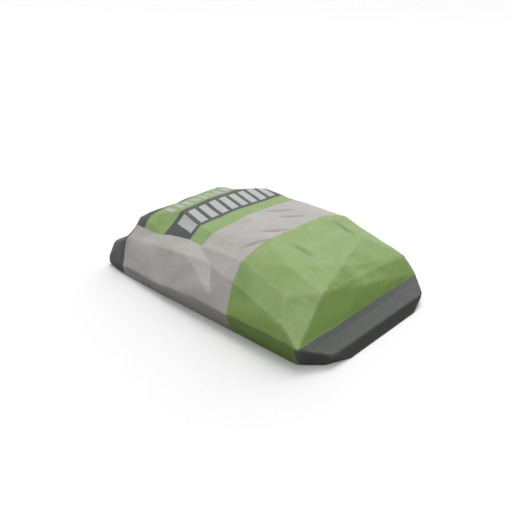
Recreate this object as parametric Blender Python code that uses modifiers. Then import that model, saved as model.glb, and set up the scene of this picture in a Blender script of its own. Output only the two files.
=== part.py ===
"""A pasted paper sack of dry concrete mix, lying flat on its back the way it is stored.

Metres, +Z up. The origin is on the floor under the middle of the sack. +Y runs along the sack
towards its top end, the one with the filling valve, and the printed front looks up.
"""

import math

import bpy
import bmesh
from mathutils import Matrix, Vector
from mathutils.geometry import delaunay_2d_cdt

MM = 0.001

# Paper, paste and fill
WALL = 0.5 * MM           # three plies of kraft paper
STRIP = 0.4 * MM          # one stiff ply, pasted over each folded end
PASTE_GAP = 0.55 * MM     # room between a cover strip and the paper under it
FILL_GAP = 0.9 * MM       # room between the paper and the mix inside it

# Each cover strip starts just past the fold at the foot of the sack's steep end
BOTTOM_STRIP_Y = -205 * MM
TOP_STRIP_Y = 187 * MM

# Filling valve: a flattened paper sleeve in the right-hand corner of the top end
VALVE_Y = 214 * MM
VALVE_Z = 23 * MM
VALVE_HIGH = 28 * MM
VALVE_THICK = 2.4 * MM
VALVE_PLY = 0.4 * MM
VALVE_IN_X = 104 * MM
VALVE_OUT_X = 142 * MM
VALVE_CLEAR = 0.5 * MM
VALVE_SIDES = 16
SLOT_DEPTH = 22 * MM      # how far the slot for the sleeve reaches into the paper's corner
SLOT_PAST = 10 * MM       # how far each cut runs on past the outside

# The underside is flat, and narrower than the sides above it. Both ends lift off the floor a little,
# so that the strips pasted under them clear it.
BASE_SPREAD = (-1.0, -0.68, -0.34, 0.0, 0.34, 0.68, 1.0)
END_LIFT = 1.5

# Cross sections of the filled body in mm, as (half width, height) pairs. Left is the -X side.
# side is the widest line, then come the top of the wall, the shoulder and the crown on each side.
BODY = [
    dict(y=-202, base=141, side=(149, 29), left=[(144, 46), (131, 72), (86, 88)], spine=78,
         right=[(62, 71), (107, 63), (133, 52)]),
    dict(y=-184, base=141, side=(150, 30), left=[(147, 56), (137, 81), (62, 99)], spine=101,
         right=[(46, 98), (109, 78), (137, 59)]),
    dict(y=-136, base=141, side=(152, 31), left=[(145, 67), (130, 91), (85, 101)], spine=109,
         right=[(62, 106), (114, 90), (141, 68)]),
    dict(y=-80, base=141, side=(154, 32), left=[(142, 78), (120, 102), (66, 115)], spine=117,
         right=[(68, 118), (118, 104), (143, 77)]),
    dict(y=-30, base=141, side=(153, 30), left=[(138, 88), (110, 102), (75, 110)], spine=114,
         right=[(77, 115), (118, 109), (144, 83)]),
    dict(y=24, base=141, side=(152, 28), left=[(134, 83), (105, 93), (85, 106)], spine=111,
         right=[(85, 112), (117, 110), (144, 86)]),
    dict(y=116, base=141, side=(148, 24), left=[(127, 73), (101, 88), (63, 112)], spine=117,
         right=[(66, 119), (121, 115), (142, 86)]),
    dict(y=184, base=139, side=(142, 21), left=[(126, 66), (111, 83), (94, 95)], spine=100,
         right=[(95, 103), (116, 98), (133, 71)]),
]

# The pressed ends under the strips, in mm: y at the underside, y on top, half width at the underside,
# half width and height of the widest line, half width and height on top, and how far the ring is
# askew, because the bottom end was folded so that it runs out further on the right.
BOTTOM_END = [
    (-241, -234, 89, 112, 14, 106, 18, -0.012),
    (-227, -222, 122, 131, 21, 121, 24, -0.006),
    (-205, -205, 141, 149, 28, 137, 29, 0),
]
TOP_END = [
    (191, 191, 138, 141, 22, 133, 62, 0),
    (216, 214, 135, 138, 20, 129, 52, 0),
    (241.5, 238.5, 130, 133, 16, 120, 41, 0),
]

# How firmly each line of the cage is held as a fold, from 0 (soft) to 1 (sharp)
SIDE_FOLD = 0.55
TOP_FOLD = 0.35
END_FOLD = 0.75
BASE_FOLD = 0.8

# Columns of a ring: the underside from left to right, the right side, over the top, the left side
UNDERSIDE = range(0, 7)
RIGHT_SIDE = 7
TOP_LINES = range(8, 15)
LEFT_SIDE = 15
SPINE = 11
COLUMNS = 16
ABOVE = range(RIGHT_SIDE, COLUMNS)

# The stiff paper lies in flat facets between its folds. These are the corners of the facets in mm,
# in lines that run from the bottom end to the top end. girth is the widest line of each side.
FOLD_POINTS = {
    "floorL": [(-117, -225, 0), (-141, -198, 0), (-140, -80, 0), (-140, 93, 0), (-138, 187, 0),
               (-132, 240, 2)],
    "girthL": [(-115, -234, 17), (-151, -206, 30), (-154, -78, 31), (-150, 64, 25), (-139, 187, 19),
               (-131, 241, 13)],
    "wallL": [(-151, -181, 57), (-139, -78, 76), (-138, -56, 80), (-130, 28, 81), (-125, 96, 72),
              (-119, 183, 63)],
    "shoulderL": [(-130, -165, 82), (-119, -80, 101), (-103, 25, 87), (-102, 49, 89), (-99, 116, 86),
                  (-103, 187, 79)],
    "crownL": [(-98, -146, 106), (-69, -82, 116), (-78, 32, 100), (-79, 51, 106), (-63, 116, 111),
               (-93, 187, 92)],
    "middle": [(-35, -186, 100), (0, -80, 117), (0, 24, 110), (0, 51, 111), (0, 116, 116), (0, 188, 98)],
    "crownR": [(58, -156, 102), (68, -80, 117), (85, 24, 109), (79, 51, 110), (63, 116, 117),
               (93, 189, 102)],
    "shoulderR": [(118, -85, 103), (116, -6, 108), (116, 33, 109), (119, 94, 113), (109, 188, 94)],
    "wallR": [(125, -193, 64), (143, -80, 77), (143, 4, 83), (140, 100, 84), (127, 183, 66)],
    "girthR": [(116, -235, 17), (149, -205, 28), (154, -78, 31), (151, 64, 27), (140, 187, 19),
               (131, 241, 13)],
    "floorR": [(118, -226, 0), (141, -198, 0), (140, -80, 0), (140, 93, 0), (138, 187, 0), (132, 240, 2)],
    "endFace": [(-96, -200, 87), (48, -190, 78)],
    "sag": [(-124, -22, 79), (-150, -44, 48), (-93, -48, 104)],
    "neck": [(84, -143, 99), (70, -162, 97)],
    "lipFoot": [(-133, 189, 61), (0, 194, 62), (133, 189, 61)],
    "lipEdge": [(-117, 238, 41), (0, 239, 41), (118, 238, 41)],
}

# The folds, each by the names of the corners that it runs through
FOLDS = [
    "girthL1 endFace0 girthR1", "girthL1 girthR1", "endFace0 wallR0 girthR1", "endFace0 endFace1 wallR0",
    "girthL1 wallL0 shoulderL0 endFace0", "wallL0 wallL1 wallL2 sag1 wallL3 wallL4 wallL5",
    "wallL2 sag0 wallL3", "shoulderL1 sag0", "shoulderL1 sag2 crownL1",
    "shoulderL0 shoulderL1 shoulderL2 shoulderL3 shoulderL4 shoulderL5",
    "shoulderL0 crownL0 crownL1 crownL2 crownL3 crownL4 crownL5", "crownL0 middle0 endFace0",
    "shoulderL1 crownL0", "middle0 crownR0 crownR1 crownR2 crownR3 crownR4 crownR5",
    "crownR0 neck1 endFace1 middle0", "neck0 neck1", "crownR1 neck0 wallR0", "shoulderR0 neck0",
    "shoulderR0 wallR0", "shoulderR0 shoulderR1 shoulderR2 shoulderR3 shoulderR4",
    "wallR0 wallR1 wallR2 wallR3 wallR4", "shoulderL5 crownL5 middle5 crownR5 shoulderR4",
    "wallL5 shoulderL5", "wallR4 shoulderR4", "lipFoot0 lipFoot1 lipFoot2", "lipEdge0 lipEdge1 lipEdge2",
    "girthL4 lipFoot0 wallL5", "girthR4 lipFoot2 wallR4", "lipFoot0 lipEdge0 girthL5",
    "lipFoot2 lipEdge2 girthR5", "crownL1 middle1 crownR1", "wallL1 shoulderL1 crownL1", "crownR1 shoulderR0",
]


def ring(base_y, top_y, lift, base, side, left, spine, right):
    """One closed ring of cage points across the sack."""
    side_y = (base_y + top_y) / 2
    points = [(base * share, base_y, lift) for share in BASE_SPREAD]
    points += [(side[0], side_y, side[1])]
    points += [(x, top_y, z) for x, z in reversed(right)]
    points += [(0, top_y, spine)]
    points += [(-x, top_y, z) for x, z in reversed(left)]
    points += [(-side[0], side_y, side[1])]
    return [Vector(point) * MM for point in points]


def pressed_ring(base_y, top_y, base, side_x, side_z, top_x, top_z, skew):
    """A ring through one of the low pressed ends, which is level on top."""
    left = [(top_x, top_z), (top_x * 0.7, top_z), (top_x * 0.35, top_z)]
    points = ring(base_y, top_y, END_LIFT, base, (side_x, side_z), left, top_z, left[::-1])
    return [Vector((point.x, point.y + point.x * skew, point.z)) for point in points]


def all_rings():
    rings = [pressed_ring(*end) for end in BOTTOM_END]
    for index, section in enumerate(BODY):
        lift = END_LIFT if index in (0, len(BODY) - 1) else 0
        shape = (section[key] for key in ("base", "side", "left", "spine", "right"))
        rings.append(ring(section["y"], section["y"], lift, *shape))
    return rings + [pressed_ring(*end) for end in TOP_END]


def close_end(bm, verts):
    """Faces across the first or last ring, between its underside and its top."""
    base = [verts[i] for i in UNDERSIDE]
    top = [verts[i] for i in reversed(TOP_LINES)]
    for i in range(len(base) - 1):
        bm.faces.new((base[i], base[i + 1], top[i + 1], top[i]))
    bm.faces.new((verts[LEFT_SIDE], base[0], top[0]))
    bm.faces.new((base[-1], verts[RIGHT_SIDE], top[-1]))


def set_folds(bm, rows):
    crease = bm.edges.layers.float.new("crease_edge")

    def hold(a, b, amount):
        edge = bm.edges.get((a, b))
        edge[crease] = max(edge[crease], amount)

    along = {LEFT_SIDE: SIDE_FOLD, RIGHT_SIDE: SIDE_FOLD, UNDERSIDE[0]: BASE_FOLD, UNDERSIDE[-1]: BASE_FOLD}
    along.update({column: TOP_FOLD for column in TOP_LINES if column != SPINE})
    for column, amount in along.items():
        for row, after in zip(rows, rows[1:]):
            hold(row[column], after[column], amount)

    first_body = len(BOTTOM_END)
    last_body = first_body + len(BODY) - 1
    for index in (first_body - 1, first_body, last_body, last_body + 1):
        for column in range(RIGHT_SIDE, LEFT_SIDE):
            hold(rows[index][column], rows[index][column + 1], END_FOLD)
    for row in (rows[0], rows[-1]):
        for column in range(len(row)):
            hold(row[column], row[column - 1], END_FOLD)


def cage_mesh():
    """The coarse cage of the filled sack's outside."""
    bm = bmesh.new()
    rows = [[bm.verts.new(point) for point in points] for points in all_rings()]
    for row, after in zip(rows, rows[1:]):
        for i in range(len(row)):
            bm.faces.new((row[i - 1], row[i], after[i], after[i - 1]))
    close_end(bm, rows[0])
    close_end(bm, rows[-1])
    bmesh.ops.recalc_face_normals(bm, faces=bm.faces)
    set_folds(bm, rows)
    mesh = bpy.data.meshes.new("sack_cage")
    bm.to_mesh(mesh)
    bm.free()
    return mesh


def folded_paper_mesh():
    """The flat facets of the upper side and the walls, triangulated between their folds as seen from above."""
    names = [f"{line}{i}" for line, points in FOLD_POINTS.items() for i in range(len(points))]
    points = {name: Vector(FOLD_POINTS[name[:-1]][int(name[-1])]) * MM for name in names}
    upper = [name for name in names if not name.startswith("floor")]
    last = len(FOLD_POINTS["girthL"]) - 1
    rim = [f"girthL{i}" for i in range(last + 1)] + [f"girthR{i}" for i in range(last, -1, -1)]
    edges = []
    for fold in FOLDS + [" ".join(rim + rim[:1])]:
        ends = [upper.index(name) for name in fold.split()]
        edges += list(zip(ends, ends[1:]))
    flat = [points[name].xy for name in upper]
    outline = [[upper.index(name) for name in rim]]
    verts_in, faces_in = 3, 2
    found = delaunay_2d_cdt(flat, edges, outline, 1, MM * MM)
    faces = [[upper[found[verts_in][i][0]] for i in face] for face in found[faces_in]]
    for side in "LR":
        for i in range(last):
            faces.append([f"girth{side}{i}", f"girth{side}{i + 1}", f"floor{side}{i + 1}", f"floor{side}{i}"])
    for i in (0, last):
        faces.append([f"girthL{i}", f"girthR{i}", f"floorR{i}", f"floorL{i}"])
    mesh = bpy.data.meshes.new("folded_paper")
    mesh.from_pydata([points[name] for name in names], [], [[names.index(name) for name in face] for face in faces])
    return mesh


def make_material(name, colour, roughness):
    material = bpy.data.materials.new(name)
    material.use_nodes = True
    shader = material.node_tree.nodes["Principled BSDF"]
    shader.inputs["Base Color"].default_value = (*colour, 1.0)
    shader.inputs["Roughness"].default_value = roughness
    shader.inputs["Metallic"].default_value = 0.0
    return material


def add_object(name, mesh, collection, material=None):
    obj = bpy.data.objects.new(name, mesh)
    collection.objects.link(obj)
    if material:
        mesh.materials.append(material)
    return obj


def add_soft_form(obj, folded, levels=1):
    """Fills the cage out, then lays its walls and its top on the folded paper's facets."""
    above = obj.vertex_groups.new(name="above")
    first_body = len(BOTTOM_END)
    rows = range(first_body, first_body + len(BODY) - 1)
    above.add([row * COLUMNS + column for row in rows for column in ABOVE], 1.0, "REPLACE")
    soft = obj.modifiers.new("filled_form", "SUBSURF")
    soft.levels = levels
    soft.render_levels = levels
    press = obj.modifiers.new("folds", "SHRINKWRAP")
    press.target = folded
    press.wrap_method = "NEAREST_SURFACEPOINT"
    press.vertex_group = above.name
    facets = obj.modifiers.new("facets", "TRIANGULATE")
    facets.quad_method = "FIXED"


def add_wall(obj, thickness, offset):
    wall = obj.modifiers.new("paper", "SOLIDIFY")
    wall.thickness = thickness
    wall.offset = offset
    wall.use_even_offset = True


def add_shift(obj, distance):
    shift = obj.modifiers.new("clearance", "DISPLACE")
    shift.strength = distance
    shift.mid_level = 0.0


def add_cut(obj, cutter):
    cut = obj.modifiers.new("valve_cut", "BOOLEAN")
    cut.object = cutter
    cut.solver = "EXACT"


def make_cutter(name, low, high, collection):
    """A box to be cut away, between two corners."""
    bm = bmesh.new()
    bmesh.ops.create_cube(bm, size=1.0)
    size = Vector(high) - Vector(low)
    bmesh.ops.scale(bm, vec=size, verts=bm.verts)
    bmesh.ops.translate(bm, vec=(Vector(low) + Vector(high)) / 2, verts=bm.verts)
    mesh = bpy.data.meshes.new(name)
    bm.to_mesh(mesh)
    bm.free()
    cutter = add_object(name, mesh, collection)
    cutter.hide_render = True
    cutter.display_type = "WIRE"
    return cutter


def valve_box(margin, in_x, out_x):
    half = Vector((0, VALVE_THICK / 2 + margin, VALVE_HIGH / 2 + margin))
    low = Vector((in_x, VALVE_Y, VALVE_Z)) - half
    high = Vector((out_x, VALVE_Y, VALVE_Z)) + half
    return low, high


def make_folded_paper(guides):
    folded = add_object("folded_paper", folded_paper_mesh(), guides)
    folded.hide_render = True
    folded.display_type = "WIRE"
    return folded


def make_paper_sack(parts, guides, folded):
    material = make_material("printed_kraft_paper", (0.47, 0.46, 0.44), 0.62)
    sack = add_object("paper_sack", cage_mesh(), parts, material)
    add_soft_form(sack, folded)
    add_wall(sack, WALL, -1.0)
    low, high = valve_box(VALVE_CLEAR, VALVE_OUT_X - SLOT_DEPTH, VALVE_OUT_X + SLOT_PAST)
    add_cut(sack, make_cutter("sack_slot", low, high, guides))


def make_concrete_mix(parts, guides, folded):
    material = make_material("dry_concrete_mix", (0.33, 0.32, 0.30), 0.9)
    mix = add_object("concrete_mix", cage_mesh(), parts, material)
    add_soft_form(mix, folded)
    add_shift(mix, -(WALL + FILL_GAP))
    low, high = valve_box(VALVE_CLEAR, VALVE_IN_X - VALVE_CLEAR, VALVE_OUT_X + SLOT_PAST)
    add_cut(mix, make_cutter("mix_pocket", low, high, guides))


def make_strip(name, start_y, towards, parts, folded):
    """The part of the sack's outside past start_y, as an open sheet that becomes a pasted strip."""
    guide = add_object("strip_guide", cage_mesh(), parts)
    add_soft_form(guide, folded)
    graph = bpy.context.evaluated_depsgraph_get()
    mesh = bpy.data.meshes.new_from_object(guide.evaluated_get(graph))
    cage = guide.data
    bpy.data.objects.remove(guide)
    bpy.data.meshes.remove(cage)
    bm = bmesh.new()
    bm.from_mesh(mesh)
    bmesh.ops.bisect_plane(bm, geom=bm.verts[:] + bm.edges[:] + bm.faces[:], plane_co=(0, start_y, 0),
                           plane_no=(0, towards, 0), clear_inner=True, dist=1e-6)
    bm.to_mesh(mesh)
    bm.free()
    mesh.name = name
    strip = add_object(name, mesh, parts, make_material(name + "_paper", (0.13, 0.13, 0.12), 0.6))
    add_shift(strip, PASTE_GAP)
    add_wall(strip, STRIP, 1.0)
    return strip


def make_strips(parts, guides, folded):
    make_strip("bottom_cover_strip", BOTTOM_STRIP_Y, -1, parts, folded)
    top = make_strip("top_cover_strip", TOP_STRIP_Y, 1, parts, folded)
    low, high = valve_box(VALVE_CLEAR, VALVE_OUT_X - SLOT_DEPTH, VALVE_OUT_X + SLOT_PAST)
    add_cut(top, make_cutter("strip_slot", low, high, guides))


def make_valve_sleeve(parts):
    """A round paper sleeve pressed flat, open at both ends."""
    length = VALVE_OUT_X - VALVE_IN_X
    bm = bmesh.new()
    bmesh.ops.create_cone(bm, cap_ends=False, segments=VALVE_SIDES, radius1=0.5, radius2=0.5, depth=length)
    bmesh.ops.scale(bm, vec=(VALVE_HIGH, VALVE_THICK, 1), verts=bm.verts)
    bmesh.ops.rotate(bm, matrix=Matrix.Rotation(math.radians(90), 3, "Y"), verts=bm.verts)
    bmesh.ops.translate(bm, vec=((VALVE_IN_X + VALVE_OUT_X) / 2, VALVE_Y, VALVE_Z), verts=bm.verts)
    bmesh.ops.recalc_face_normals(bm, faces=bm.faces)
    mesh = bpy.data.meshes.new("valve_sleeve")
    bm.to_mesh(mesh)
    bm.free()
    sleeve = add_object("valve_sleeve", mesh, parts, make_material("plain_kraft", (0.47, 0.33, 0.20), 0.7))
    add_wall(sleeve, VALVE_PLY, -1.0)


def new_collection(name):
    collection = bpy.data.collections.new(name)
    bpy.context.scene.collection.children.link(collection)
    return collection


def main():
    for obj in list(bpy.data.objects):
        bpy.data.objects.remove(obj)
    parts = new_collection("concrete_mix_bag")
    guides = new_collection("guides")
    folded = make_folded_paper(guides)
    make_paper_sack(parts, guides, folded)
    make_concrete_mix(parts, guides, folded)
    make_strips(parts, guides, folded)
    make_valve_sleeve(parts)


main()
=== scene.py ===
import math
import bpy
import bmesh
import numpy as np
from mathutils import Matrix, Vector
from mathutils.geometry import delaunay_2d_cdt


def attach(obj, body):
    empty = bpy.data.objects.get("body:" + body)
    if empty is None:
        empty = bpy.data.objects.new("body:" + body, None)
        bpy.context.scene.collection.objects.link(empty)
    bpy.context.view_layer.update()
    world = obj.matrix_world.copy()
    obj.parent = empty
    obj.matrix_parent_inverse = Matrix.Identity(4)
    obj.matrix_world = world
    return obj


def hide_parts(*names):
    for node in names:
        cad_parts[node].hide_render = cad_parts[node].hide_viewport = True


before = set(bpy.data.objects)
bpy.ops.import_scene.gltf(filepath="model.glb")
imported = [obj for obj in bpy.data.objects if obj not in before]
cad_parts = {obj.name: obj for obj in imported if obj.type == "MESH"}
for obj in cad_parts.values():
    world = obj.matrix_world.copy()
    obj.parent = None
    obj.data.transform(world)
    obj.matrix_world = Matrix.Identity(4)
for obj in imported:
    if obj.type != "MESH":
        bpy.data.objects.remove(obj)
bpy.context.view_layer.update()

mm = 0.001


def toLinear(hexColour):
    # sRGB hex to the linear values that shaders take
    values = [int(hexColour[i:i + 2], 16) / 255 for i in (1, 3, 5)]
    return tuple(v / 12.92 if v <= 0.04045 else ((v + 0.055) / 1.055) ** 2.4 for v in values) + (1.0,)


def addNode(tree, kind, inputs=None, **settings):
    # one node with its settings; an input, by name or number, gets a value or another node's output
    node = tree.nodes.new(kind)
    for name, value in settings.items():
        setattr(node, name, value)
    for key, value in (inputs or {}).items():
        if isinstance(value, bpy.types.NodeSocket):
            tree.links.new(value, node.inputs[key])
        else:
            node.inputs[key].default_value = value
    return node


def linkPiece(name, mesh):
    piece = bpy.data.objects.new(name, mesh)
    bpy.context.scene.collection.objects.link(piece)
    return piece


def bakeModifiers(piece):
    # the evaluated mesh takes the place of the modifiers
    graph = bpy.context.evaluated_depsgraph_get()
    mesh = bpy.data.meshes.new_from_object(piece.evaluated_get(graph))
    piece.modifiers.clear()
    old = piece.data
    piece.data = mesh
    bpy.data.meshes.remove(old)
    mesh.name = piece.name


def readPoints(mesh):
    co = np.empty(len(mesh.vertices) * 3, np.float32)
    mesh.vertices.foreach_get("co", co)
    return co.reshape(-1, 3).astype(float)


def writePoints(mesh, co):
    mesh.vertices.foreach_set("co", co.astype(np.float32).ravel())
    mesh.update()


def stayOffFloor(co):
    co[:, 2] = np.maximum(co[:, 2], 0)
    return co


# The filled sack's big flat facets. Lines run from the bottom end (near) to the top end (far), in mm.
sackShape = {
    "floorL": [(-117, -225, 0), (-141, -198, 0), (-140, -80, 0), (-140, 93, 0),
               (-138, 187, 0), (-132, 240, 2)],
    "girthL": [(-115, -234, 17), (-151, -206, 30), (-154, -78, 31), (-150, 64, 25),
               (-139, 187, 19), (-131, 241, 13)],
    "wallL": [(-151, -181, 57), (-139, -78, 76), (-138, -56, 80), (-130, 28, 81),
              (-125, 96, 72), (-119, 183, 63)],
    "shoulderL": [(-130, -165, 82), (-119, -80, 101), (-103, 25, 87), (-102, 49, 89),
                  (-99, 116, 86), (-103, 187, 79)],
    "crownL": [(-98, -146, 106), (-69, -82, 116), (-78, 32, 100), (-79, 51, 106),
               (-63, 116, 111), (-93, 187, 92)],
    "middle": [(-35, -186, 100), (0, -80, 117), (0, 24, 110), (0, 51, 111), (0, 116, 116), (0, 188, 98)],
    "crownR": [(58, -156, 102), (68, -80, 117), (85, 24, 109), (79, 51, 110),
               (63, 116, 117), (93, 189, 102)],
    "shoulderR": [(118, -85, 103), (116, -6, 108), (116, 33, 109), (119, 94, 113), (109, 188, 94)],
    "wallR": [(125, -193, 64), (143, -80, 77), (143, 4, 83), (140, 100, 84), (127, 183, 66)],
    "girthR": [(116, -235, 17), (149, -205, 28), (154, -78, 31), (151, 64, 27),
               (140, 187, 19), (131, 241, 13)],
    "floorR": [(118, -226, 0), (141, -198, 0), (140, -80, 0), (140, 93, 0), (138, 187, 0), (132, 240, 2)],
    "endFace": [(-96, -200, 87), (48, -190, 78)],
    "nose": [(-79, -241, 0), (79, -243, 0)],
    "sag": [(-124, -22, 79), (-150, -44, 48), (-93, -48, 104)],
    "neck": [(84, -143, 99), (70, -162, 97)],
    "lipFoot": [(-133, 189, 61), (0, 194, 62), (133, 189, 61)],
    "lipEdge": [(-117, 238, 41), (0, 239, 41), (118, 238, 41)],
}

# Lines that the paper is folded along, by the names of the points that they run through
sackFolds = [
    "girthL1 endFace0 girthR1", "girthL1 girthR1", "endFace0 wallR0 girthR1", "endFace0 endFace1 wallR0",
    "girthL1 wallL0 shoulderL0 endFace0", "wallL0 wallL1 wallL2 sag1 wallL3 wallL4 wallL5",
    "wallL2 sag0 wallL3", "shoulderL1 sag0", "shoulderL1 sag2 crownL1",
    "shoulderL0 shoulderL1 shoulderL2 shoulderL3 shoulderL4 shoulderL5",
    "shoulderL0 crownL0 crownL1 crownL2 crownL3 crownL4 crownL5", "crownL0 middle0 endFace0",
    "shoulderL1 crownL0", "middle0 crownR0 crownR1 crownR2 crownR3 crownR4 crownR5",
    "crownR0 neck1 endFace1 middle0", "neck0 neck1", "crownR1 neck0 wallR0", "shoulderR0 neck0",
    "shoulderR0 wallR0", "shoulderR0 shoulderR1 shoulderR2 shoulderR3 shoulderR4",
    "wallR0 wallR1 wallR2 wallR3 wallR4",
    "shoulderL5 crownL5 middle5 crownR5 shoulderR4", "wallL5 shoulderL5", "wallR4 shoulderR4",
    "lipFoot0 lipFoot1 lipFoot2", "lipEdge0 lipEdge1 lipEdge2", "girthL4 lipFoot0 wallL5",
    "girthR4 lipFoot2 wallR4", "lipFoot0 lipEdge0 girthL5", "lipFoot2 lipEdge2 girthR5",
    "crownL1 middle1 crownR1", "wallL1 shoulderL1 crownL1", "crownR1 shoulderR0",
]


def sackFacets():
    # the printed side is triangulated between its folds seen from above, the rest is a skirt and a floor
    points = [Vector(p) * mm for line in sackShape.values() for p in line]
    names = [f"{line}{i}" for line, row in sackShape.items() for i in range(len(row))]
    index = {name: i for i, name in enumerate(names)}
    last = len(sackShape["girthL"]) - 1
    rim = [f"girthL{i}" for i in range(last + 1)] + [f"girthR{i}" for i in range(last, -1, -1)]
    top = [name for name in names if not name.startswith(("floor", "nose"))]
    edges = []
    for line in sackFolds + [" ".join(rim + rim[:1])]:
        keys = [top.index(key) for key in line.split()]
        edges += list(zip(keys, keys[1:]))
    flat = [points[index[name]].xy for name in top]
    found = delaunay_2d_cdt(flat, edges, [[top.index(name) for name in rim]], 1, 1e-6)
    faces = [[index[top[found[3][v][0]]] for v in face] for face in found[2]]
    for side in "LR":
        for i in range(last):
            keys = (f"girth{side}{i}", f"girth{side}{i + 1}", f"floor{side}{i + 1}", f"floor{side}{i}")
            faces.append([index[key] for key in keys])
        nose = "nose0" if side == "L" else "nose1"
        faces.append([index[key] for key in (f"girth{side}0", f"floor{side}0", nose)])
    for keys in ((f"girthL{last}", f"girthR{last}", f"floorR{last}", f"floorL{last}"),
                 ("girthL0", "girthR0", "nose1", "nose0")):
        faces.append([index[key] for key in keys])
    floor = ["nose0"] + [f"floorL{i}" for i in range(last + 1)]
    floor += [f"floorR{i}" for i in range(last, -1, -1)] + ["nose1"]
    faces.append([index[key] for key in floor])
    bm = bmesh.new()
    verts = [bm.verts.new(p) for p in points]
    for face in faces:
        bm.faces.new([verts[i] for i in face])
    bmesh.ops.recalc_face_normals(bm, faces=bm.faces)
    bmesh.ops.triangulate(bm, faces=bm.faces)
    mesh = bpy.data.meshes.new("sackFacets")
    bm.to_mesh(mesh)
    bm.free()
    return mesh


# How the flat facets become a sack of stiff paper that is packed full
paperFill = {
    "meshDepth": 7,           # an octree of 128 cells, which spans the sack with a little to spare
    "meshSpan": 0.87,
    "foldAngle": 24.0,        # degrees past which a fold is held as sharp as it goes
    "foldFrom": 0.2,          # below this share of that angle nothing is held
    "foldHold": 0.85,
    "bodyMiddle": -8 * mm,    # along the sack
    "bodyHalf": 190 * mm,
    "endReach": 12 * mm,
    "endRounds": 4,
    "machineFolded": 0.25,    # how much softer the bottom end gets than the body; the top end gets all of it
    "simFrames": 20,
    "pressure": 2.0,
    "spare": 0.010,           # the paper is this share larger than the form, so that it buckles a little
    "bulgeRounds": 12,
    "furthest": 2.5 * mm,     # the most that pressing the paper out may move a point
}


def neighbourTable(mesh):
    edges = np.empty(len(mesh.edges) * 2, np.int64)
    mesh.edges.foreach_get("vertices", edges)
    edges = edges.reshape(-1, 2)
    both = np.concatenate([edges, edges[:, ::-1]])
    count = np.bincount(both[:, 0], minlength=len(mesh.vertices)).astype(float)
    return both, count


def meanOfNeighbours(values, both, count):
    total = [np.bincount(both[:, 0], weights=values[both[:, 1], k], minlength=len(count))
             for k in range(values.shape[1])]
    return np.stack(total, axis=1) / count[:, None]


def relax(values, both, count, rounds, weight=1.0):
    for _ in range(rounds):
        values = values + 0.5 * weight * (meanOfNeighbours(values, both, count) - values)
    return values


def endShare(co, reach):
    # 0 over the sack's body and 1 at its two pressed ends
    fromMiddle = np.abs(co[:, 1] - paperFill["bodyMiddle"])
    return np.clip((fromMiddle - paperFill["bodyHalf"]) / reach, 0, 1)


def softEnds(co):
    # the bottom end is folded by machine, the top end is pressed shut by hand
    return endShare(co, paperFill["endReach"]) * np.where(co[:, 1] > 0, 1.0, paperFill["machineFolded"])


def keepFoldsSharp(mesh):
    # an edge that lies in a fold resists being smoothed, the more so the harder the paper is folded there
    bm = bmesh.new()
    bm.from_mesh(mesh)
    sharp = bm.edges.layers.float.new("crease_edge")
    for edge in bm.edges:
        soft = softEnds(np.array([vert.co[:] for vert in edge.verts]))
        bend = math.degrees(edge.calc_face_angle(0)) / paperFill["foldAngle"]
        if bend > paperFill["foldFrom"] and soft.max() <= paperFill["machineFolded"]:
            edge[sharp] = min(bend, 1.0) * paperFill["foldHold"]
    bm.to_mesh(mesh)
    bm.free()


def makeSackForm():
    piece = linkPiece("sackSkin", sackFacets())
    even = piece.modifiers.new("evenMesh", "REMESH")
    even.mode = "SHARP"
    even.octree_depth = paperFill["meshDepth"]
    even.scale = paperFill["meshSpan"]
    even.sharpness = 1.0
    even.use_remove_disconnected = False
    bakeModifiers(piece)
    keepFoldsSharp(piece.data)
    both, count = neighbourTable(piece.data)
    start = readPoints(piece.data)
    co = relax(start, both, count, paperFill["endRounds"], softEnds(start)[:, None])
    writePoints(piece.data, stayOffFloor(co))
    print("sack form:", len(co), "points")
    return piece


def fillSack(piece):
    # paper a little larger than the mix in it, pushed out from within and held at its ends and underneath
    before = readPoints(piece.data)
    held = piece.vertex_groups.new(name="held")
    under = np.clip((14 * mm - before[:, 2]) / (10 * mm), 0, 1)
    for i, amount in enumerate(np.maximum(endShare(before, 18 * mm), under)):
        if amount > 0.02:
            held.add([i], float(amount), "REPLACE")
    cloth = piece.modifiers.new("fillPress", "CLOTH")
    paper = cloth.settings
    paper.quality = 5
    paper.mass = 0.2
    paper.tension_stiffness = 40
    paper.compression_stiffness = 40
    paper.shear_stiffness = 20
    paper.bending_stiffness = 12
    paper.use_pressure = True
    paper.uniform_pressure_force = paperFill["pressure"]
    paper.shrink_min = -paperFill["spare"]
    paper.effector_weights.gravity = 0
    paper.vertex_group_mass = "held"
    paper.pin_stiffness = 5
    cloth.collision_settings.use_collision = False
    cloth.point_cache.frame_start = 1
    cloth.point_cache.frame_end = paperFill["simFrames"]
    scene = bpy.context.scene
    for step in range(1, paperFill["simFrames"] + 1):
        scene.frame_set(step)
    bakeModifiers(piece)
    scene.frame_set(1)
    # stiff paper takes the broad bulges and not the fine ripples between neighbouring points
    both, count = neighbourTable(piece.data)
    move = relax(readPoints(piece.data) - before, both, count, paperFill["bulgeRounds"])
    length = np.linalg.norm(move, axis=1)
    share = np.tanh(length / paperFill["furthest"]) * paperFill["furthest"] / np.maximum(length, 1e-9)
    writePoints(piece.data, stayOffFloor(before + move * share[:, None]))
    print(f"paper pressed out: {1000 * length.mean():.2f} mm on average, {1000 * length.max():.1f} at most")


# Creases from handling: straight folds of many directions laid over each other, which leave small flat facets
handling = {
    "Crease Spacing": 52 * mm,
    "Crease Depth": 1.0 * mm,
    "Buckle Depth": 0.9 * mm,
    "Gather Spacing": 30 * mm,
    "Gather Depth": 0.9 * mm,
    "Seed": 4.0,
    "directions": 8,
}

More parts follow.
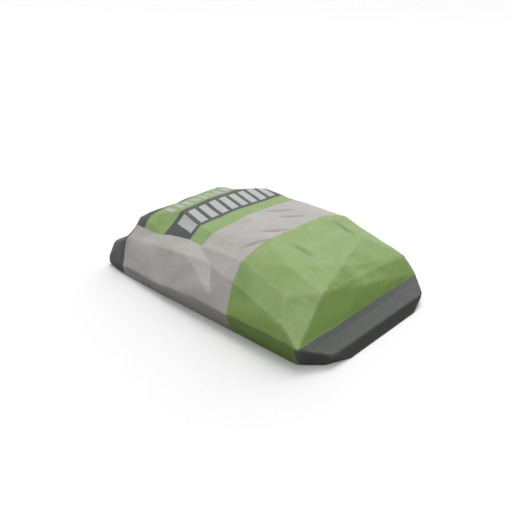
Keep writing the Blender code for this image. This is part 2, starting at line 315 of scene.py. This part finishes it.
# Long dents in the crown: both ends in mm, then half width and depth in mm
dents = [
    ((-45, -49), (-21, -75), 7, 2.6), ((-50, -115), (-51, -144), 7, 2.4), ((66, -101), (57, -141), 8, 2.8),
    ((-94, -57), (-67, -81), 6, 1.8), ((20, -30), (44, -52), 6, 1.4), ((30, 5), (58, -18), 7, 1.3),
]


def creaseTree(material):
    # every crease is a straight fold, PINGPONG over one direction, that shows only in patches
    tree = bpy.data.node_groups.new("handlingCreases", "GeometryNodeTree")
    tree.interface.new_socket("Geometry", in_out="INPUT", socket_type="NodeSocketGeometry")
    for name in ("Crease Spacing", "Crease Depth", "Buckle Depth", "Gather Spacing", "Gather Depth", "Seed"):
        tree.interface.new_socket(name, in_out="INPUT", socket_type="NodeSocketFloat")
    tree.interface.new_socket("Geometry", in_out="OUTPUT", socket_type="NodeSocketGeometry")
    given = tree.nodes.new("NodeGroupInput").outputs
    place = tree.nodes.new("GeometryNodeInputPosition").outputs[0]
    wander = addNode(tree, "ShaderNodeTexNoise", {"Vector": place, "W": given["Seed"], "Scale": 9.0,
                                                  "Detail": 1.0}, noise_dimensions="4D").outputs["Color"]
    bent = addNode(tree, "ShaderNodeVectorMath", {0: wander, 1: (0.03, 0.03, 0.03), 2: place},
                   operation="MULTIPLY_ADD").outputs[0]
    rng = np.random.default_rng(11)
    total = None
    for k in range(handling["directions"]):
        heading = Vector(rng.normal(size=3) * (1.0, 0.8, 0.9)).normalized()
        finer = 0.55 + 0.16 * k
        along = addNode(tree, "ShaderNodeVectorMath", {0: bent, 1: heading},
                        operation="DOT_PRODUCT").outputs["Value"]
        spaced = addNode(tree, "ShaderNodeMath", {0: along, 1: given["Crease Spacing"]},
                         operation="DIVIDE").outputs[0]
        slid = addNode(tree, "ShaderNodeMath", {0: spaced, 1: finer, 2: float(rng.uniform(0, 2))},
                       operation="MULTIPLY_ADD").outputs[0]
        fold = addNode(tree, "ShaderNodeMath", {0: slid, 1: 0.5}, operation="PINGPONG").outputs[0]
        patch = addNode(tree, "ShaderNodeTexNoise", {"Vector": place, "W": 3.1 * k, "Scale": 13.0,
                                                     "Detail": 0.0}, noise_dimensions="4D").outputs["Fac"]
        shown = addNode(tree, "ShaderNodeMapRange",
                        {"Value": patch, "From Min": 0.45, "From Max": 0.62, "To Max": 1 / finer},
                        interpolation_type="SMOOTHSTEP")
        total = addNode(tree, "ShaderNodeMath", {0: fold, 1: shown.outputs["Result"], 2: total or -0.6},
                        operation="MULTIPLY_ADD").outputs[0]
    buckles = addNode(tree, "ShaderNodeTexNoise",
                      {"Vector": place, "Scale": 34.0, "Detail": 2.0}).outputs["Fac"]
    crease = addNode(tree, "ShaderNodeMath", {0: total, 1: given["Crease Depth"]},
                     operation="MULTIPLY").outputs[0]
    height = addNode(tree, "ShaderNodeMath", {0: buckles, 1: given["Buckle Depth"], 2: crease},
                     operation="MULTIPLY_ADD").outputs[0]
    # short gathers run in from each pressed end, where the round body is drawn flat
    drawnOut = addNode(tree, "ShaderNodeVectorMath", {0: place, 1: (1, 0.3, 1)},
                       operation="MULTIPLY").outputs[0]
    counted = addNode(tree, "ShaderNodeMath", {0: 1.0, 1: given["Gather Spacing"]},
                      operation="DIVIDE").outputs[0]
    strands = addNode(tree, "ShaderNodeTexNoise",
                      {"Vector": drawnOut, "Scale": counted, "Detail": 0.0}).outputs["Fac"]
    folded = addNode(tree, "ShaderNodeMath", {0: strands, 1: 3.0}, operation="MULTIPLY").outputs[0]
    gather = addNode(tree, "ShaderNodeMath", {0: folded, 1: 0.5}, operation="PINGPONG").outputs[0]
    nearEnd = addNode(tree, "GeometryNodeInputNamedAttribute", {"Name": "gathered"},
                      data_type="FLOAT").outputs["Attribute"]
    drawn = addNode(tree, "ShaderNodeMath", {0: gather, 1: nearEnd}, operation="MULTIPLY").outputs[0]
    height = addNode(tree, "ShaderNodeMath", {0: drawn, 1: given["Gather Depth"], 2: height},
                     operation="MULTIPLY_ADD").outputs[0]
    loose = addNode(tree, "GeometryNodeInputNamedAttribute", {"Name": "loose"},
                    data_type="FLOAT").outputs["Attribute"]
    held = addNode(tree, "ShaderNodeMath", {0: height, 1: loose}, operation="MULTIPLY").outputs[0]
    normal = tree.nodes.new("GeometryNodeInputNormal").outputs[0]
    push = addNode(tree, "ShaderNodeVectorMath", {0: normal, "Scale": held}, operation="SCALE").outputs[0]
    moved = addNode(tree, "GeometryNodeSetPosition",
                    {"Geometry": given["Geometry"], "Offset": push}).outputs[0]
    plain = addNode(tree, "GeometryNodeRealizeInstances", {"Geometry": moved}).outputs[0]
    covered = addNode(tree, "GeometryNodeSetMaterial", {"Geometry": plain, "Material": material}).outputs[0]
    addNode(tree, "NodeGroupOutput", {0: covered})
    return tree


# Pressed lines at the pasted ends and along the glued seam underneath, as points in mm, half width and depth
foldMarks = [
    ([(-148, -205, 28), (-104, -240, 4)], 3.0, 1.0), ([(148, -205, 28), (104, -240, 4)], 3.0, 1.0),
    ([(-128, -216, 25), (128, -216, 25)], 2.6, 0.7),
    ([(-133, 190, 61), (-96, 222, 47), (96, 222, 47), (133, 190, 61)], 3.0, 0.9),
    ([(-96, 222, 47), (-120, 240, 30)], 3.0, 0.9), ([(96, 222, 47), (120, 240, 30)], 3.0, 0.9),
    ([(-150, -195, 27), (-153, -78, 31), (-150, 64, 26), (-140, 186, 20)], 2.4, 0.5),
    ([(150, -195, 27), (153, -78, 31), (151, 64, 27), (140, 186, 20)], 2.4, 0.5),
]
backSeam = {"edge": 34 * mm, "rise": 0.6 * mm}


def awayFromLine(co, points):
    # distance from each point to a line through several points
    points = np.array(points) * mm
    nearest = np.full(len(co), np.inf)
    for start, end in zip(points, points[1:]):
        run = end - start
        share = np.clip((co - start) @ run / (run @ run), 0, 1)
        nearest = np.minimum(nearest, np.linalg.norm(co - start - share[:, None] * run, axis=1))
    return nearest


def readNormals(mesh):
    normals = np.empty(len(mesh.vertices) * 3, np.float32)
    mesh.vertices.foreach_get("normal", normals)
    return normals.reshape(-1, 3).astype(float)


def pressFoldMarks(mesh):
    co = readPoints(mesh)
    normals = readNormals(mesh)
    for points, halfWidth, depth in foldMarks:
        groove = np.exp(-(awayFromLine(co, points) / (halfWidth * mm)) ** 2)
        co -= normals * (groove * depth * mm)[:, None]
    under = (co[:, 2] < 1 * mm) & (normals[:, 2] < -0.5) & (co[:, 0] > backSeam["edge"])
    co[under, 2] += backSeam["rise"]
    # the paper stands off the floor where a cover strip passes under it
    strips = (co[:, 1] < coverStrips["bottomStrip"]["from"]) | (co[:, 1] > coverStrips["topStrip"]["from"])
    co[strips, 2] = np.maximum(co[strips, 2], coverStrips["under"])
    writePoints(mesh, co)


def keepOnPoints(mesh, name, values):
    layer = mesh.attributes.new(name, "FLOAT", "POINT")
    layer.data.foreach_set("value", values.astype(np.float32))


def pressDents(mesh):
    co = readPoints(mesh)
    paintedDentShade = np.zeros(len(co))
    for start, end, halfWidth, depth in dents:
        start, end = np.array(start) * mm, np.array(end) * mm
        run = end - start
        share = np.clip((co[:, :2] - start) @ run / (run @ run), 0, 1)
        away = np.linalg.norm(co[:, :2] - start - share[:, None] * run, axis=1) / (halfWidth * mm)
        hollow = np.clip(1 - away, 0, 1) ** 1.5 * (co[:, 2] > 80 * mm) * (0.5 + 0.5 * np.sin(np.pi * share))
        co[:, 2] -= hollow * depth * mm
        # painted shade: each dent's hollow is marked so that the material lays dark ink into it
        paintedDentShade = np.maximum(paintedDentShade, np.sqrt(hollow))
    writePoints(mesh, co)
    keepOnPoints(mesh, "paintedDentShade", paintedDentShade)


def creaseSack(piece, material):
    fine = piece.modifiers.new("fineMesh", "SUBSURF")
    fine.levels = fine.render_levels = 1
    bakeModifiers(piece)
    co = readPoints(piece.data)
    # held still on the floor, and at its two ends, the bottom end above all
    onFloor = np.clip(co[:, 2] / (16 * mm), 0, 1)
    stiffer = endShare(co, 40 * mm) * np.where(co[:, 1] > 0, 0.1, 0.5)
    keepOnPoints(piece.data, "loose", onFloor * (1 - stiffer))
    fromEnd = np.minimum(co[:, 1] + 200 * mm, 186 * mm - co[:, 1])
    keepOnPoints(piece.data, "gathered", np.clip(1 - np.abs(fromEnd - 12 * mm) / (55 * mm), 0, 1) * onFloor)
    tree = creaseTree(material)
    folds = piece.modifiers.new("handlingCreases", "NODES")
    folds.node_group = tree
    for item in tree.interface.items_tree:
        if item.in_out == "INPUT" and item.name in handling:
            folds[item.identifier] = handling[item.name]
    bakeModifiers(piece)
    pressDents(piece.data)
    writePoints(piece.data, stayOffFloor(readPoints(piece.data)))
    pressFoldMarks(piece.data)
    print("handling creases pressed in:", len(piece.data.polygons), "faces")


# Where the sack wears, where dust lies, and where painted shade and painted sheen go into its colour; facing
# is the upward part of a point's normal, from -1 to 1
wearMarks = {
    "fullyBent": 0.9 * mm,    # a fold that stands out this far is rubbed as bare as it gets
    "dustSheenFrom": 0.15, "dustSheenOver": 0.5,
    "underShadeFrom": 0.12, "underShadeOver": 0.3, "underShadeMost": 0.72, "underShadeBelow": 34 * mm,
    "noseFrom": 0.78, "noseOver": 0.25, "nosePast": -207 * mm,
}


def markWear(mesh):
    # how sharply the paper is folded outwards, where it rubs bare, or inwards, where dust gathers
    both, count = neighbourTable(mesh)
    co = readPoints(mesh)
    bulge = np.sum((co - relax(co, both, count, 12)) * readNormals(mesh), axis=1)
    bulge = relax(bulge[:, None], both, count, 6)[:, 0] / wearMarks["fullyBent"]
    keepOnPoints(mesh, "worn", np.clip(bulge, 0, 1))
    keepOnPoints(mesh, "dusty", np.clip(-bulge, 0, 1))
    # cement dust together with a painted sheen on whatever looks up: the colour is paled there
    facing = relax(readNormals(mesh), both, count, 3)[:, 2]
    level = np.clip((facing - wearMarks["dustSheenFrom"]) / wearMarks["dustSheenOver"], 0, 1)
    keepOnPoints(mesh, "dustAndPaintedSheen", level * level * (3 - 2 * level))
    # painted shade: whatever looks down near the floor, and the front of the bottom end, is darkened
    lookingDown = (wearMarks["underShadeFrom"] - facing) / wearMarks["underShadeOver"]
    noseFront = np.clip((wearMarks["noseFrom"] - facing) / wearMarks["noseOver"], 0, 1)
    noseFront = noseFront * (co[:, 1] < wearMarks["nosePast"])
    paintedUnderShade = np.maximum(np.clip(lookingDown, 0, wearMarks["underShadeMost"]), noseFront)
    keepOnPoints(mesh, "paintedUnderShade", paintedUnderShade * (co[:, 2] < wearMarks["underShadeBelow"]))


# Where the print changes along the sack (y) and across it (x), in mm, and the ink colours
printLayout = {
    "bottomDark": -201.5, "noseTop": 28, "greenEnds": -80, "topDark": 187,
    "labelLeft": -102, "labelRight": 122, "labelFrom": 22, "labelTo": 177, "labelSkew": 0.1,
    "bandFrom": 50, "bandTo": 116, "printedAbove": 55,
}
inks = {"green": "#6B8645", "warmGrey": "#93908D", "darkGrey": "#4C4F4C", "paleGrey": "#989B9B",
        "bareKraft": "#A2998A", "cementDustAndSheen": "#BEBCB9", "brownKraft": "#9E815E"}

# Two rows of plain slanted bars on the printed side, in mm
barRows = [
    {"from": 58, "to": 106, "left": -90, "right": 113, "pitch": 23.0, "width": 15.0, "slant": 0.28},
    {"from": 128, "to": 162, "left": -69, "right": 102, "pitch": 17.8, "width": 10.5, "slant": 0.28},
]


def printedPast(tree, value, edge, soft=0.3):
    # 0 before a printed edge and 1 past it
    return addNode(tree, "ShaderNodeMapRange",
                   {"Value": value, "From Min": edge - soft, "From Max": edge + soft},
                   interpolation_type="SMOOTHSTEP").outputs["Result"]


def allOf(tree, *masks):
    total = masks[0]
    for mask in masks[1:]:
        total = addNode(tree, "ShaderNodeMath", {0: total, 1: mask}, operation="MULTIPLY").outputs[0]
    return total


def notPast(tree, value, edge):
    past = printedPast(tree, value, edge)
    return addNode(tree, "ShaderNodeMath", {0: 1.0, 1: past}, operation="SUBTRACT").outputs[0]


def inked(tree, under, ink, mask):
    return addNode(tree, "ShaderNodeMix", {0: mask, 6: under, 7: ink}, data_type="RGBA").outputs[2]


def cloudy(tree, noise, low, high):
    # a noise spread over a range of values
    return addNode(tree, "ShaderNodeMapRange", {"Value": noise, "From Min": 0.3, "From Max": 0.7,
                                                "To Min": low, "To Max": high}).outputs["Result"]


def onPoints(tree, name):
    return addNode(tree, "ShaderNodeAttribute", attribute_name=name).outputs["Fac"]


def paperMaterial(name, colourOf, wear=0.3):
    # sack kraft, long fibres pressed on a wire: matt, with a faint tooth that runs along the sack
    material = bpy.data.materials.new(name)
    material.use_nodes = True
    tree = material.node_tree
    tree.nodes.clear()
    place = addNode(tree, "ShaderNodeTexCoord").outputs["Object"]
    inMm = addNode(tree, "ShaderNodeVectorMath", {0: place, "Scale": 1 / mm}, operation="SCALE").outputs[0]
    rub = addNode(tree, "ShaderNodeTexNoise",
                  {"Vector": inMm, "Scale": 0.12, "Detail": 5.0, "Roughness": 0.6}).outputs["Fac"]
    colour = colourOf(tree, inMm)
    # flexo ink lies unevenly on rough paper: cloudy over a few cm and broken by the fibres
    clouds = addNode(tree, "ShaderNodeTexNoise",
                     {"Vector": inMm, "Scale": 0.05, "Detail": 6.0, "Roughness": 0.7}).outputs["Fac"]
    # painted shade: the colour is darkened down to 0.42 of itself on undersides near the floor and at the
    # front of the bottom end
    underShadeFactor = addNode(tree, "ShaderNodeMapRange",
                    {"Value": onPoints(tree, "paintedUnderShade"), "To Min": 1.0, "To Max": 0.42}).outputs["Result"]
    value = allOf(tree, cloudy(tree, clouds, 0.92, 1.06), underShadeFactor)
    colour = addNode(tree, "ShaderNodeHueSaturation", {"Color": colour, "Value": value}).outputs[0]
    # outward folds rub bare in patches, inward ones hold dust, and the dents from handling get painted shade
    # in dark ink
    for key, mask in (("bareKraft", allOf(tree, onPoints(tree, "worn"), cloudy(tree, rub, 0, wear))),
                      ("cementDustAndSheen", allOf(tree, onPoints(tree, "dusty"), 0.1)),
                      ("darkGrey", allOf(tree, onPoints(tree, "paintedDentShade"), 0.42))):
        colour = inked(tree, colour, toLinear(inks[key]), mask)
    # the fibres are drawn four times coarser than real ones, which lie about 0.3 mm apart
    grain = addNode(tree, "ShaderNodeMapping", {"Vector": inMm, "Scale": (1.0, 0.35, 1.0)}).outputs[0]
    fibres = addNode(tree, "ShaderNodeTexNoise",
                     {"Vector": grain, "Scale": 0.8, "Detail": 4.0, "Roughness": 0.6}).outputs["Fac"]
    cockle = addNode(tree, "ShaderNodeTexNoise",
                     {"Vector": inMm, "Scale": 0.09, "Detail": 3.0, "Roughness": 0.5}).outputs["Fac"]
    tooth = addNode(tree, "ShaderNodeBump",
                    {"Height": fibres, "Strength": 0.3, "Distance": 0.12 * mm}).outputs[0]
    ripple = addNode(tree, "ShaderNodeBump",
                     {"Height": cockle, "Normal": tooth, "Strength": 0.5, "Distance": 1.2 * mm}).outputs[0]
    shader = addNode(tree, "ShaderNodeBsdfPrincipled",
                     {"Base Color": colour, "Roughness": cloudy(tree, rub, 0.52, 0.7), "Normal": ripple,
                      "IOR": 1.5, "Specular IOR Level": 0.1})
    addNode(tree, "ShaderNodeOutputMaterial", {"Surface": shader.outputs[0]})
    return material


def printedSide(tree, inMm):
    # the edges of the print wander by about a millimetre, where ink bleeds into the paper
    bleed = addNode(tree, "ShaderNodeTexNoise",
                    {"Vector": inMm, "Scale": 0.5, "Detail": 3.0}).outputs["Color"]
    wandered = addNode(tree, "ShaderNodeVectorMath", {0: bleed, 1: (1.4, 1.4, 0), 2: inMm},
                       operation="MULTIPLY_ADD").outputs[0]
    axes = addNode(tree, "ShaderNodeSeparateXYZ", {0: wandered})
    x, y, z = (axes.outputs[k] for k in "XYZ")
    lay = printLayout
    green, grey, dark = (toLinear(inks[key]) for key in ("green", "warmGrey", "darkGrey"))
    onLabel = allOf(tree, printedPast(tree, x, lay["labelLeft"]), notPast(tree, x, lay["labelRight"]),
                    printedPast(tree, z, lay["printedAbove"], 2), printedPast(tree, y, lay["labelFrom"]))
    skewed = addNode(tree, "ShaderNodeMath", {0: x, 1: -lay["labelSkew"], 2: y},
                     operation="MULTIPLY_ADD").outputs[0]
    colour = inked(tree, grey, green, notPast(tree, y, lay["greenEnds"]))
    colour = inked(tree, colour, green, onLabel)
    # the thin pale inks get a pale film, part cement dust and part painted sheen, on whatever looks up, which
    # the dense dark ink does not
    patchy = addNode(tree, "ShaderNodeTexNoise",
                     {"Vector": inMm, "Scale": 0.03, "Detail": 3.0}).outputs["Fac"]
    dustSheenFilm = allOf(tree, onPoints(tree, "dustAndPaintedSheen"), cloudy(tree, patchy, 0.09, 0.15))
    colour = inked(tree, colour, toLinear(inks["cementDustAndSheen"]), dustSheenFilm)
    band = allOf(tree, onLabel, printedPast(tree, y, lay["bandFrom"]), notPast(tree, y, lay["bandTo"]))
    colour = inked(tree, colour, dark, band)
    colour = inked(tree, colour, dark, allOf(tree, onLabel, printedPast(tree, skewed, lay["labelTo"])))
    for row in barRows:
        middle = row["slant"] * (row["from"] + row["to"]) / 2
        slid = addNode(tree, "ShaderNodeMath", {0: y, 1: -row["slant"], 2: x},
                       operation="MULTIPLY_ADD").outputs[0]
        first = addNode(tree, "ShaderNodeMath", {0: slid, 1: middle - row["left"]},
                        operation="ADD").outputs[0]
        cell = addNode(tree, "ShaderNodeMath", {0: first, 1: row["pitch"] / 2},
                       operation="PINGPONG").outputs[0]
        bar = allOf(tree, printedPast(tree, cell, (row["pitch"] - row["width"]) / 2),
                    printedPast(tree, y, row["from"]), notPast(tree, y, row["to"]),
                    printedPast(tree, first, 0), notPast(tree, first, row["right"] - row["left"]),
                    printedPast(tree, z, lay["printedAbove"], 2))
        colour = inked(tree, colour, toLinear(inks["paleGrey"]), bar)
    # under the cover strips the sack's own print is dark too, so that no pale edge shows at them
    nose = allOf(tree, notPast(tree, y, lay["bottomDark"]), notPast(tree, z, lay["noseTop"]))
    colour = inked(tree, colour, dark, nose)
    return inked(tree, colour, dark, printedPast(tree, y, lay["topDark"]))


def plainColour(key):
    return lambda tree, inMm: toLinear(inks[key])


mixGrain = 3 * mm


def dryMixMaterial():
    # cement powder with sand and gravel in it: dead matt grey with paler and darker grains of 3 mm
    material = bpy.data.materials.new("dryConcreteMix")
    material.use_nodes = True
    tree = material.node_tree
    tree.nodes.clear()
    place = addNode(tree, "ShaderNodeTexCoord").outputs["Object"]
    grains = addNode(tree, "ShaderNodeTexVoronoi", {"Vector": place, "Scale": 1 / mixGrain})
    colour = inked(tree, toLinear("#6E6B66"), toLinear("#B3ADA3"), grains.outputs["Color"])
    lumps = addNode(tree, "ShaderNodeBump", {"Height": grains.outputs["Distance"], "Strength": 0.6,
                                             "Distance": 1 * mm}).outputs[0]
    shader = addNode(tree, "ShaderNodeBsdfPrincipled",
                     {"Base Color": colour, "Roughness": 0.95, "Normal": lumps})
    addNode(tree, "ShaderNodeOutputMaterial", {"Surface": shader.outputs[0]})
    return material


# Dark strips pasted over the two pressed ends
coverStrips = {
    "bottomStrip": {"node": "bottom_cover_strip", "from": -201.5 * mm, "towards": -1,
                    "below": 29.5 * mm, "lean": 0.0067},
    "topStrip": {"node": "top_cover_strip", "from": 187 * mm, "towards": 1,
                 "below": 200 * mm, "lean": 0.0},
    "paste": 0.3 * mm,
    "ply": 0.4 * mm,
    "under": 0.8 * mm,        # room for paste and ply between the paper and the floor
}


def makeStrip(name, material):
    # the strip takes the very shape of the paper that it is pasted over
    row = coverStrips[name]
    mesh = sackSkin.data.copy()
    bm = bmesh.new()
    bm.from_mesh(mesh)
    for place, outwards in (((0, row["from"], 0), (0, row["towards"], 0)),
                            ((0, 0, row["below"]), (-row["lean"], 0, -1))):
        bmesh.ops.bisect_plane(bm, geom=bm.verts[:] + bm.edges[:] + bm.faces[:], plane_co=place,
                               plane_no=outwards, clear_inner=True, dist=1e-6)
    for vert in bm.verts:
        vert.co += vert.normal * coverStrips["paste"]
    bm.to_mesh(mesh)
    bm.free()
    mesh.materials.clear()
    mesh.materials.append(material)
    piece = linkPiece(name, mesh)
    ply = piece.modifiers.new("ply", "SOLIDIFY")
    ply.thickness = coverStrips["ply"]
    ply.offset = 1.0
    bakeModifiers(piece)
    writePoints(piece.data, stayOffFloor(readPoints(piece.data)))
    piece.data.shade_smooth()
    if row["towards"] > 0:
        cutSlot(piece, valveSlot["paperFrom"], plainKraft)
    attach(piece, "root")
    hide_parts(row["node"])
    print(name, "pasted on:", len(piece.data.polygons), "faces")


# The filling valve opens in the right-hand corner of the top end: a slot for the flattened sleeve, in mm
valveSlot = {"y": 214, "z": 23, "thick": 3.4, "high": 29, "paperFrom": 120, "mixFrom": 103.5, "to": 152}


def cutSlot(piece, fromX, lining):
    bm = bmesh.new()
    bmesh.ops.create_cube(bm, size=1)
    size = Vector((valveSlot["to"] - fromX, valveSlot["thick"], valveSlot["high"])) * mm
    middle = Vector(((valveSlot["to"] + fromX) / 2, valveSlot["y"], valveSlot["z"])) * mm
    for vert in bm.verts:
        vert.co = vert.co * size + middle
    mesh = bpy.data.meshes.new("slotCutter")
    bm.to_mesh(mesh)
    bm.free()
    mesh.materials.append(lining)
    cutter = linkPiece("slotCutter", mesh)
    slot = piece.modifiers.new("valveSlot", "BOOLEAN")
    slot.object = cutter
    slot.solver = "EXACT"
    slot.material_mode = "TRANSFER"
    bakeModifiers(piece)
    bpy.data.objects.remove(cutter)
    bpy.data.meshes.remove(mesh)


mixInside = 4 * mm    # from the sack's form to the mix
mixRounds = 8         # the mix has no folds of its own


def makeMix(form):
    # the dry mix fills the sack to just inside its paper
    piece = linkPiece("dryMix", form)
    both, count = neighbourTable(form)
    writePoints(form, relax(readPoints(form), both, count, mixRounds))
    writePoints(form, readPoints(form) - readNormals(form) * mixInside)
    form.materials.clear()
    form.materials.append(dryMixMaterial())
    cutSlot(piece, valveSlot["mixFrom"], form.materials[0])
    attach(piece, "root")
    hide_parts("concrete_mix")
    print("mix filled in:", len(piece.data.polygons), "faces")


# The studio: a pale floor, soft lights, and the camera where the photograph was taken from
studio = {
    "cameraAt": (-614.6 * mm, -569.9 * mm, 423.3 * mm),
    "lookAt": (-3.7 * mm, 2.1 * mm, 46.9 * mm),
    "lens": 35.0, "sensor": 32.0,
    "floorColour": "#D0D0D0", "floorFlat": 6.0, "floorReach": 45.0, "floorRise": 16.0,    # in metres
    "floorRings": 16, "floorTurns": 64,
    "softKey": {"from": (0.21, 0.18, 0.96), "power": 1.98, "spread": 34.0},
    "wideFill": {"from": (-0.29, -0.39, 0.87), "power": 2.08, "spread": 60.0},
    "lowBack": {"from": (0.75, 0.25, 0.6), "power": 1.7, "spread": 50.0},
    "skyPower": 0.02,
}


def makeStudio():
    scene = bpy.context.scene
    # flat around the sack, then rising gently far away, so that no horizon shows behind it
    bm = bmesh.new()
    rings = []
    turns = studio["floorTurns"]
    for ring in range(studio["floorRings"] + 1):
        outwards = ring / studio["floorRings"]
        radius = studio["floorFlat"] + (studio["floorReach"] - studio["floorFlat"]) * outwards
        height = studio["floorRise"] * outwards ** 2
        angles = [math.tau * k / turns for k in range(turns)]
        rings.append([bm.verts.new((radius * math.cos(a), radius * math.sin(a), height)) for a in angles])
    bm.faces.new(rings[0])
    for inner, outer in zip(rings, rings[1:]):
        for k in range(turns):
            after = (k + 1) % turns
            bm.faces.new((inner[k], outer[k], outer[after], inner[after]))
    mesh = bpy.data.meshes.new("studioFloor")
    bm.to_mesh(mesh)
    bm.free()
    mesh.shade_smooth()
    floor = linkPiece("studioFloor", mesh)
    material = bpy.data.materials.new("paleBackdropPaper")
    material.use_nodes = True
    shader = material.node_tree.nodes["Principled BSDF"]
    shader.inputs["Base Color"].default_value = toLinear(studio["floorColour"])
    shader.inputs["Roughness"].default_value = 0.9
    shader.inputs["Specular IOR Level"].default_value = 0.0
    mesh.materials.append(material)
    for name in ("softKey", "wideFill", "lowBack"):
        sun = bpy.data.lights.new(name, "SUN")
        sun.energy = studio[name]["power"]
        sun.angle = math.radians(studio[name]["spread"])
        lamp = linkPiece(name, sun)
        lamp.rotation_euler = Vector(studio[name]["from"]).to_track_quat("Z", "Y").to_euler()
    world = bpy.data.worlds.new("studioSky")
    world.use_nodes = True
    sky = world.node_tree.nodes["Background"]
    sky.inputs["Color"].default_value = (1, 1, 1, 1)
    sky.inputs["Strength"].default_value = studio["skyPower"]
    scene.world = world
    lens = bpy.data.cameras.new("photoCamera")
    lens.lens = studio["lens"]
    lens.sensor_width = studio["sensor"]
    camera = bpy.data.objects.new("photoCamera", lens)
    camera.location = studio["cameraAt"]
    sight = Vector(studio["lookAt"]) - Vector(studio["cameraAt"])
    camera.rotation_euler = sight.to_track_quat("-Z", "Y").to_euler()
    scene.collection.objects.link(camera)
    scene.camera = camera
    scene.view_settings.view_transform = "Standard"
    print("studio ready")


makeStudio()
# unprinted kraft, brown from its unbleached fibres: the valve sleeve and the cut edges of the paper
plainKraft = paperMaterial("plainBrownKraft", plainColour("brownKraft"))
sackSkin = makeSackForm()
fillSack(sackSkin)
makeMix(sackSkin.data.copy())
# kraft printed in green, grey and dark flexo inks, a little dusty and rubbed at its folds, with painted shade
# underneath and in its dents and a painted sheen where it looks up
creaseSack(sackSkin, paperMaterial("printedSackKraft", printedSide))
markWear(sackSkin.data)
sackSkin.data.shade_smooth()

# one flat coat of dense dark ink, which shows hardly any wear
stripKraft = paperMaterial("darkPrintedStripKraft", plainColour("darkGrey"), wear=0.08)
makeStrip("bottomStrip", stripKraft)
makeStrip("topStrip", stripKraft)

cutSlot(sackSkin, valveSlot["paperFrom"], plainKraft)
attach(sackSkin, "root")
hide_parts("paper_sack")

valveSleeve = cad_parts["valve_sleeve"]
valveSleeve.data.materials.clear()
valveSleeve.data.materials.append(plainKraft)
